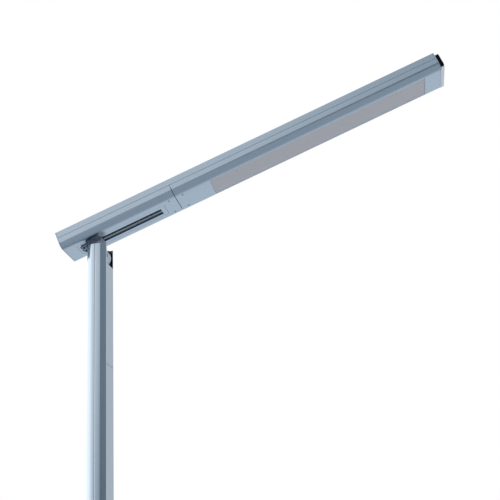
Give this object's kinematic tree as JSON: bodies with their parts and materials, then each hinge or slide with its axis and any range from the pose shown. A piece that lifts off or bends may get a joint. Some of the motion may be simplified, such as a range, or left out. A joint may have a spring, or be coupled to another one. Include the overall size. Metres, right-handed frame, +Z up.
{
  "type": "solar street lamp",
  "caption": "Pole-mounted solar street lamp: slim extruded head with a solar top and LED window below, on a tilting bracket and sliding rail.",
  "frame": {"origin": "centre of the base plate's underside, on the ground", "axes": "+Z up along the pole, +X towards the street, the way the head reaches out, +Y across the head"},
  "size_m": [1.5682, 0.3, 4.0364],
  "materials": {
    "anodised": "satin anodised, pale silver blue, fine lengthwise extrusion grain",
    "cast": "fine blasted casting, silver",
    "steel": "stainless, machined",
    "cell": null,
    "glass": "clear tempered, low iron",
    "backsheet": "white film",
    "opal": "opal diffuser, unlit, pinkish grey",
    "black": "glossy black moulding",
    "pale": "pale translucent moulding",
    "board": "white solder mask",
    "battery": "shrink-wrapped battery pack",
    "casing": "black moulded casing",
    "fibre": "friction and gasket material"
  },
  "bodies": {
    "pole": {"base_plate": "cast", "base_shoe": "cast", "shoe_screw_1": "steel", "shoe_screw_2": "steel", "pole_profile": "anodised", "pole_front_cover": "anodised", "pole_head_insert": "cast", "insert_screw_1": "steel", "insert_screw_2": "steel", "hinge_bolt": "steel", "hinge_nut": "steel"},
    "bracket": {"hinge_bracket": "cast", "friction_washer_1": "fibre", "friction_washer_2": "fibre", "slide_nut_near": "steel", "slide_nut_far": "steel", "clamp_screw_1": "steel", "clamp_screw_2": "steel", "clamp_screw_3": "steel", "clamp_screw_4": "steel"},
    "head": {"head_top_profile": "anodised", "solar_backsheet": "backsheet", "solar_cell_01": "cell", "solar_cell_02": "cell", "solar_cell_03": "cell", "solar_cell_04": "cell", "solar_cell_05": "cell", "solar_cell_06": "cell", "solar_cell_07": "cell", "solar_cell_08": "cell", "solar_cell_09": "cell", "solar_cell_10": "cell", "solar_glass": "glass", "junction_box": "casing", "base_housing": "anodised", "led_housing": "anodised", "joint_splice": "cast", "joint_screw_1": "steel", "joint_screw_2": "steel", "joint_screw_3": "steel", "joint_screw_4": "steel", "mounting_rail": "anodised", "led_window": "opal", "window_gasket": "fibre", "led_board": "board", "heat_spreader": "cast", "lens_strip_1": "pale", "lens_strip_2": "pale", "battery_pack_1": "battery", "battery_pack_2": "battery", "charge_controller": "casing", "led_driver": "casing", "rear_end_cap": "anodised", "rear_cap_screw_1": "steel", "rear_cap_screw_2": "steel", "front_end_plate": "anodised", "front_end_cap": "black", "front_lower_cap": "pale"}
  },
  "joints": [
    {"name": "head_tilt", "type": "hinge", "parent": "pole", "child": "bracket", "pos_m": [0.0065, 0, 3.36], "axis": [0, 1, 0], "range_deg": [0, 110]},
    {"name": "head_slide", "type": "slide", "parent": "bracket", "child": "head", "axis": [0.9328, 0, 0.3605], "range_m": [-0.25, 0]}
  ]
}
